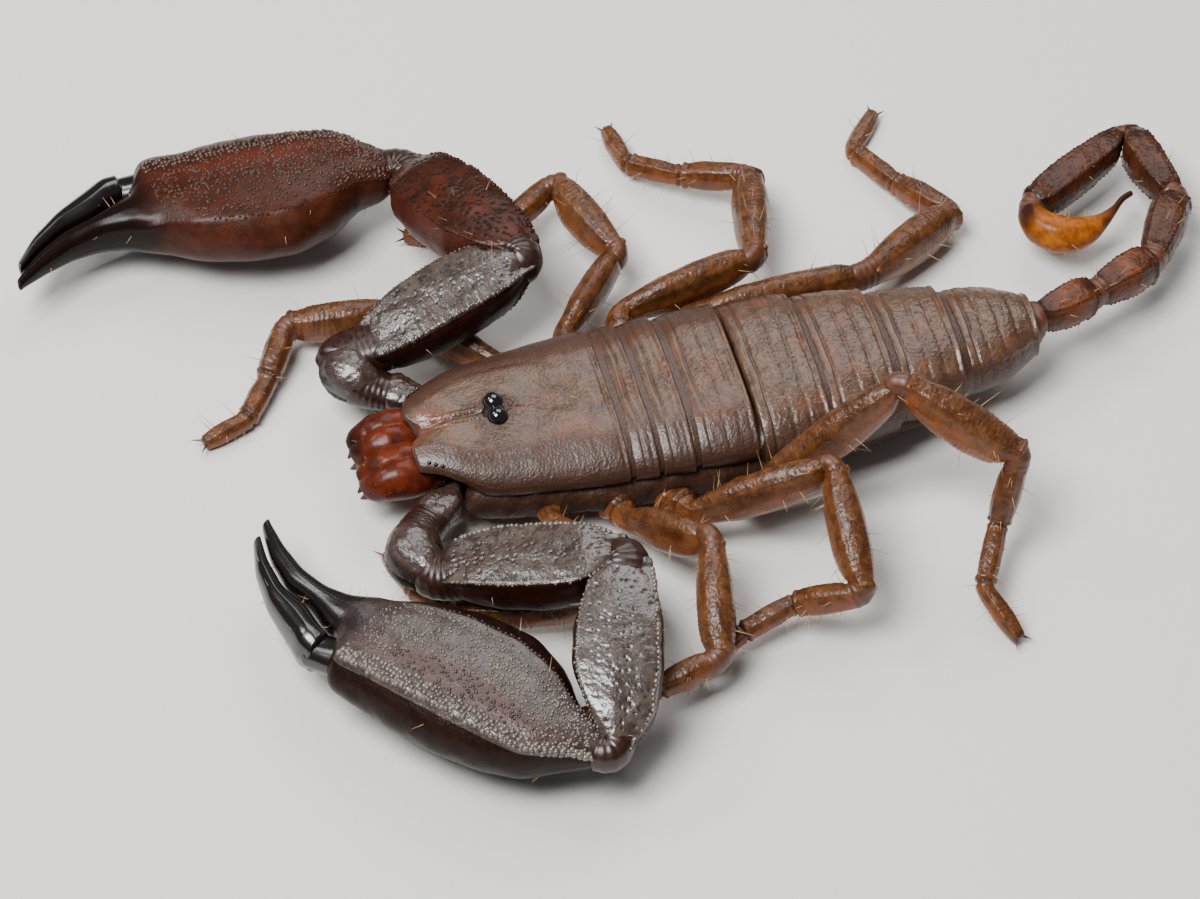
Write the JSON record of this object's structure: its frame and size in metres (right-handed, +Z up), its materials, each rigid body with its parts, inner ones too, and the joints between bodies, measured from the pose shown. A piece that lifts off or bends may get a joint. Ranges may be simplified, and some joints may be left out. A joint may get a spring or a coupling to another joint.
{
  "type": "scorpion",
  "caption": "Dwarf wood scorpion standing alert at life size, broad pincers spread, tail curled flat to one side; a still display model.",
  "frame": {"origin": "on the floor under the centre of the model's box, with the soles of the feet at z = 0", "axes": "+Z up, +Y from the head towards the tail, +X the animal's left side"},
  "size_m": [0.0222, 0.0312, 0.0048],
  "materials": {
    "back_shell": "dark grey-brown, finely granular, satin",
    "arm_shell": "black-red, pitted and granular, glossy",
    "leg_shell": "orange-brown, thin and waxy",
    "belly_shell": "pale orange-brown, smooth",
    "jaw": "orange-red, glossy",
    "tail_shell": "dark red-brown, glossy, granular",
    "sting": "orange, smooth",
    "eye": "black, mirror-like",
    "comb": "pale tan, satin"
  },
  "bodies": {
    "root": {"arm_left_coxa": "arm_shell", "arm_left_femur": "arm_shell", "arm_left_finger": "arm_shell", "arm_left_hand": "arm_shell", "arm_left_patella": "arm_shell", "arm_left_trochanter": "arm_shell", "arm_right_coxa": "arm_shell", "arm_right_femur": "arm_shell", "arm_right_finger": "arm_shell", "arm_right_hand": "arm_shell", "arm_right_patella": "arm_shell", "arm_right_trochanter": "arm_shell", "coxae": "belly_shell", "eye_left": "eye", "eye_right": "eye", "head_shield": "back_shell", "jaw_left": "jaw", "jaw_right": "jaw", "leg_left_1_femur": "leg_shell", "leg_left_1_foot": "leg_shell", "leg_left_1_patella": "leg_shell", "leg_left_2_femur": "leg_shell", "leg_left_2_foot": "leg_shell", "leg_left_2_patella": "leg_shell", "leg_left_3_femur": "leg_shell", "leg_left_3_foot": "leg_shell", "leg_left_3_patella": "leg_shell", "leg_left_4_femur": "leg_shell", "leg_left_4_foot": "leg_shell", "leg_left_4_patella": "leg_shell", "leg_right_1_femur": "leg_shell", "leg_right_1_foot": "leg_shell", "leg_right_1_patella": "leg_shell", "leg_right_2_femur": "leg_shell", "leg_right_2_foot": "leg_shell", "leg_right_2_patella": "leg_shell", "leg_right_3_femur": "leg_shell", "leg_right_3_foot": "leg_shell", "leg_right_3_patella": "leg_shell", "leg_right_4_femur": "leg_shell", "leg_right_4_foot": "leg_shell", "leg_right_4_patella": "leg_shell", "pectine_left": "comb", "pectine_right": "comb", "tail_1": "tail_shell", "tail_2": "tail_shell", "tail_3": "tail_shell", "tail_4": "tail_shell", "tail_5": "tail_shell", "telson": "sting", "trunk_plate_1": "back_shell", "trunk_plate_2": "back_shell", "trunk_plate_3": "back_shell", "trunk_plate_4": "back_shell", "trunk_plate_5": "back_shell", "trunk_plate_6": "back_shell", "trunk_plate_7": "back_shell"}
  },
  "joints": []
}
